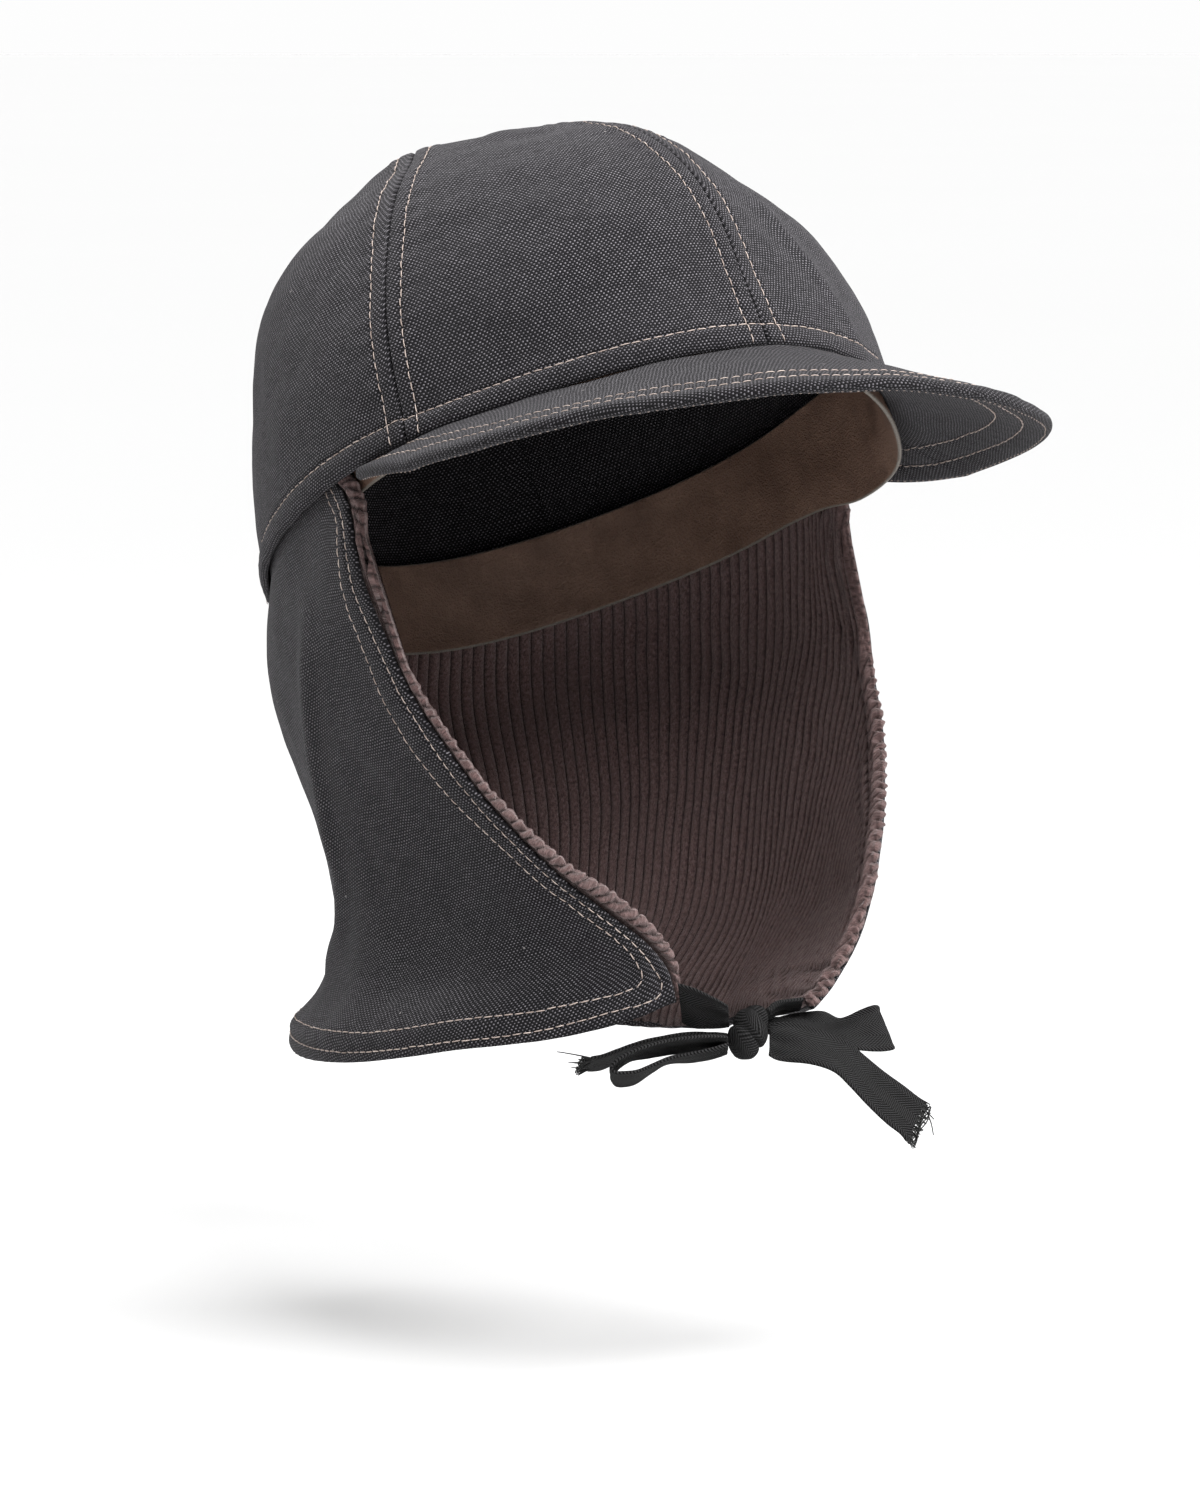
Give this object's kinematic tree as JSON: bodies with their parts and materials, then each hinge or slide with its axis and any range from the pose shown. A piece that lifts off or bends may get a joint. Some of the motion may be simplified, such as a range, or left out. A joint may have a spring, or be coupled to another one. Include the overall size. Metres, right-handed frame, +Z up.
{
  "type": "riding cap with neck flap",
  "caption": "Canvas riding cap: panelled crown, short stiff stitched brim, leather sweatband, and a ribbed-lined flap over ears and neck, tied with tapes in a bow under the chin.",
  "frame": {"origin": "centre of the head opening, in the middle of the crown's lower edge, where the cap sits on a head", "axes": "+Z up with the head upright, the cap's front and brim face -Y, the wearer's right is -X"},
  "size_m": [0.1869, 0.2705, 0.2791],
  "materials": {
    "canvas": "charcoal cotton canvas, plain weave with pale flecks, topstitched in light tan thread",
    "leather_band": "brown leather, semi-matte, pale cut edge",
    "ribbed_lining": "mauve-brown wide-wale corduroy",
    "twill_tape": "black cotton herringbone tape, frayed cut ends"
  },
  "bodies": {
    "root": {"crown_front_right": "canvas", "crown_front_left": "canvas", "crown_side_right": "canvas", "crown_side_left": "canvas", "crown_back": "canvas", "brim": "canvas", "sweatband": "leather_band", "neck_flap": "canvas", "flap_lining": "ribbed_lining", "tie_strap_right": "twill_tape", "tie_strap_left": "twill_tape", "bow_knot": "twill_tape", "bow_loop_right": "twill_tape", "bow_loop_left": "twill_tape", "bow_tail_right": "twill_tape", "bow_tail_left": "twill_tape"}
  },
  "joints": []
}
